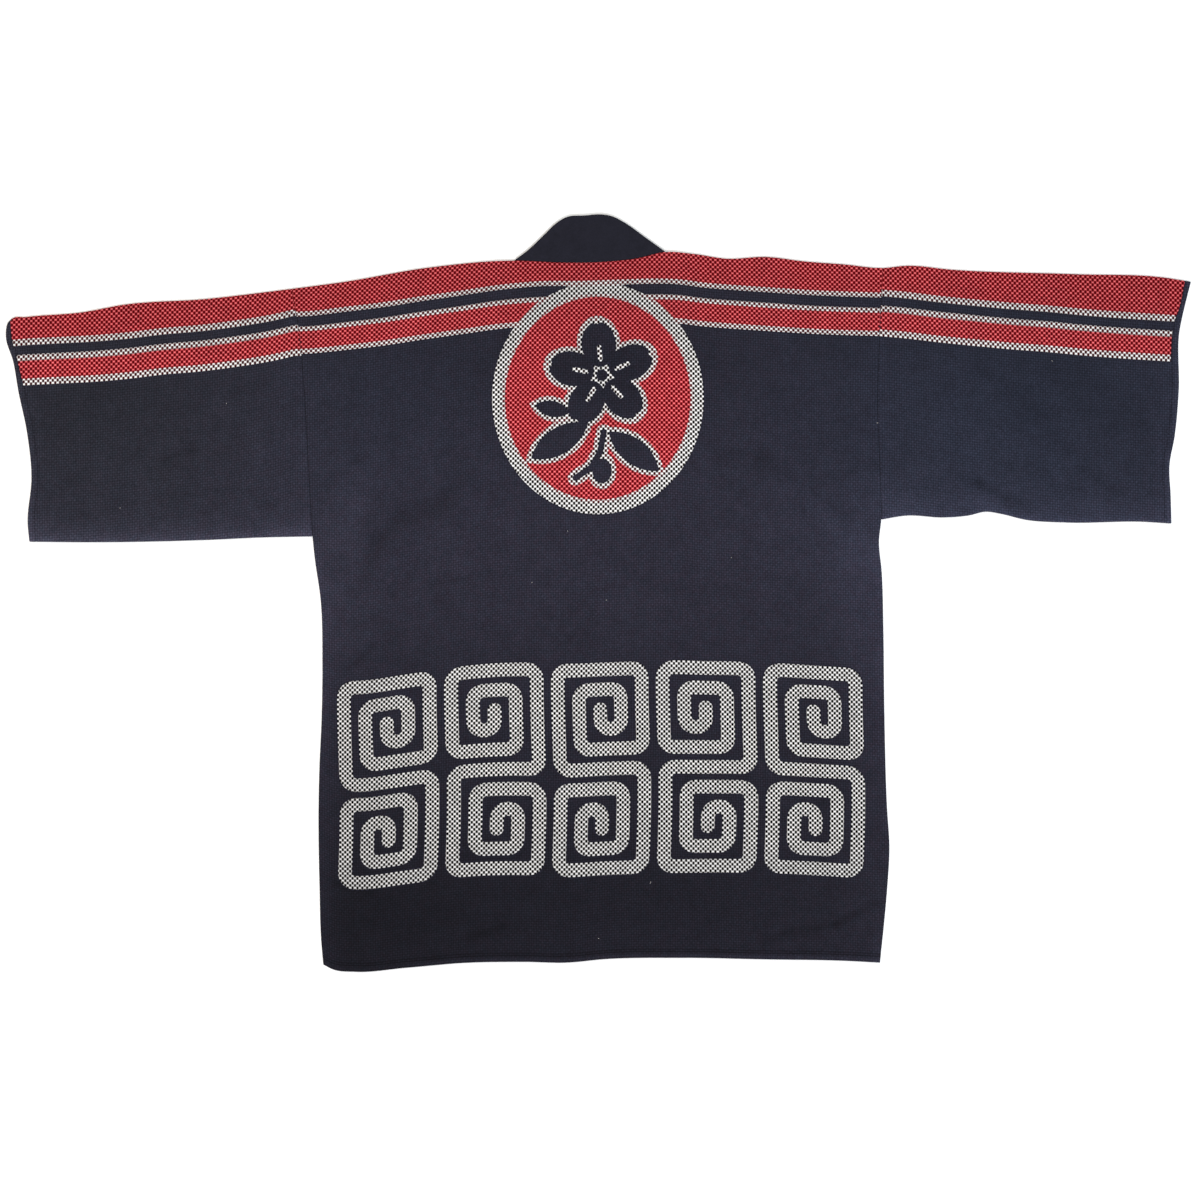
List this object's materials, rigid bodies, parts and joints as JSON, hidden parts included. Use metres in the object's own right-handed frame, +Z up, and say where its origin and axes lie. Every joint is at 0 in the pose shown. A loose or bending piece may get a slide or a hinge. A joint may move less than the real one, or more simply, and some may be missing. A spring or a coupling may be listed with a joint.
{
  "type": "happi coat",
  "caption": "Short straight-cut open coat with wide square sleeves and a band collar, laid flat on its front with its patterned back upward",
  "frame": {"origin": "middle of the laid-out coat's outline, on the surface that it lies on", "axes": "+Z up out of the back's face, +Y toward the collar, +X toward the sleeve on the right of someone looking down at the back"},
  "size_m": [1.339, 0.8556, 0.0093],
  "materials": {
    "dobby_cotton": "matte",
    "collar_cotton": "matte"
  },
  "bodies": {
    "root": {"back": "dobby_cotton", "front_left": "dobby_cotton", "front_right": "dobby_cotton", "sleeve_left": "dobby_cotton", "sleeve_right": "dobby_cotton", "collar_back": "collar_cotton", "collar_left": "collar_cotton", "collar_right": "collar_cotton"}
  },
  "joints": []
}
